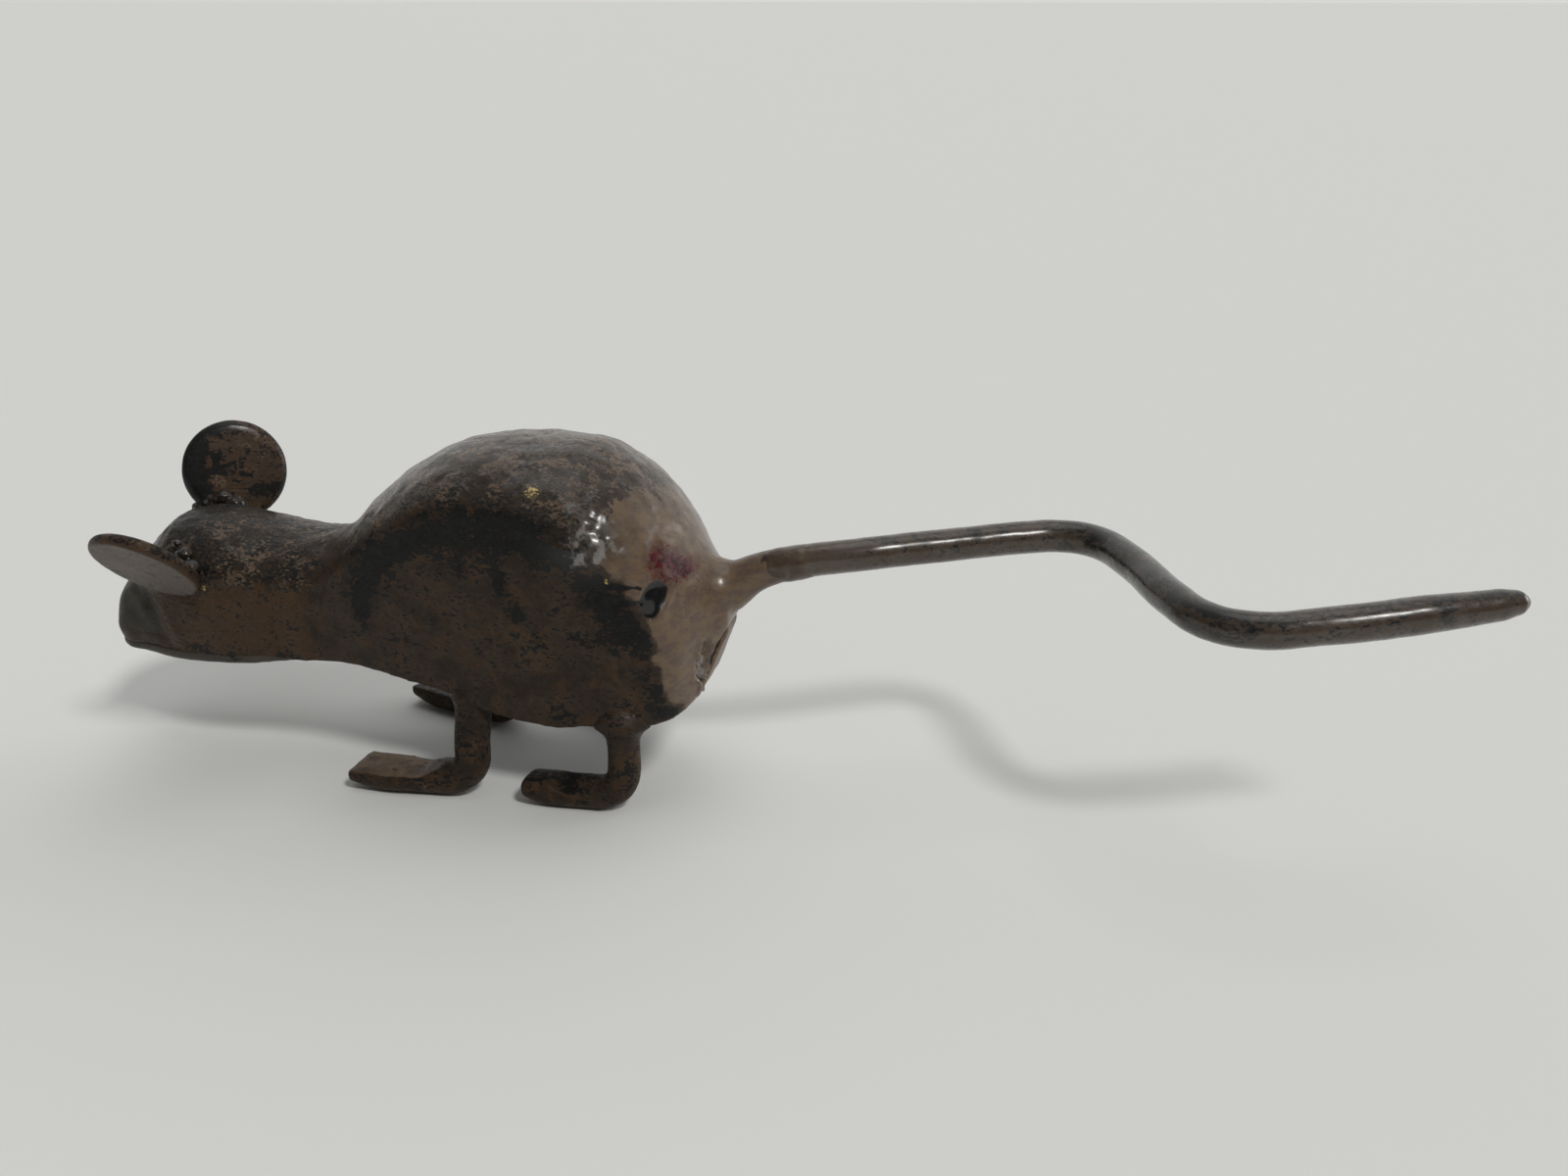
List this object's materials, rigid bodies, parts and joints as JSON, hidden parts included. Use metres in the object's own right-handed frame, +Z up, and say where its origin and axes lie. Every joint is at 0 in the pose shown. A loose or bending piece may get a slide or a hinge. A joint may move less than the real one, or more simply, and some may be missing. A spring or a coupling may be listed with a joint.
{
  "type": "mouse figure",
  "caption": "Hand-made metal mouse figure: hollow hammered body on a belly plate, bent rod legs with beaten feet, disc ears and a long wavy rod tail.",
  "frame": {"origin": "on the ground under the middle of the whole object", "axes": "+X from the nose to the tail tip, along the object's length; +Z up; the mouse's left side faces -Y"},
  "size_m": [0.1456, 0.0336, 0.038],
  "materials": {
    "body_paint": "thick worn grey-brown gloss paint over black, hammered",
    "belly_paint": "worn grey-brown paint",
    "leg_paint": "brown paint over black, forged rod",
    "tail_paint": "brown satin paint worn to black at the bends",
    "ear_paint": "brown paint worn to black, scratched",
    "weld_paint": "painted weld with bright flecks"
  },
  "bodies": {
    "root": {"left_body_shell": "body_paint", "right_body_shell": "body_paint", "belly_plate": "belly_paint", "front_left_leg": "leg_paint", "front_right_leg": "leg_paint", "rear_left_leg": "leg_paint", "rear_right_leg": "leg_paint", "front_left_leg_weld": "weld_paint", "front_right_leg_weld": "weld_paint", "rear_left_leg_weld": "weld_paint", "rear_right_leg_weld": "weld_paint", "tail_rod": "tail_paint", "tail_weld": "weld_paint", "left_ear": "ear_paint", "right_ear": "ear_paint"}
  },
  "joints": []
}
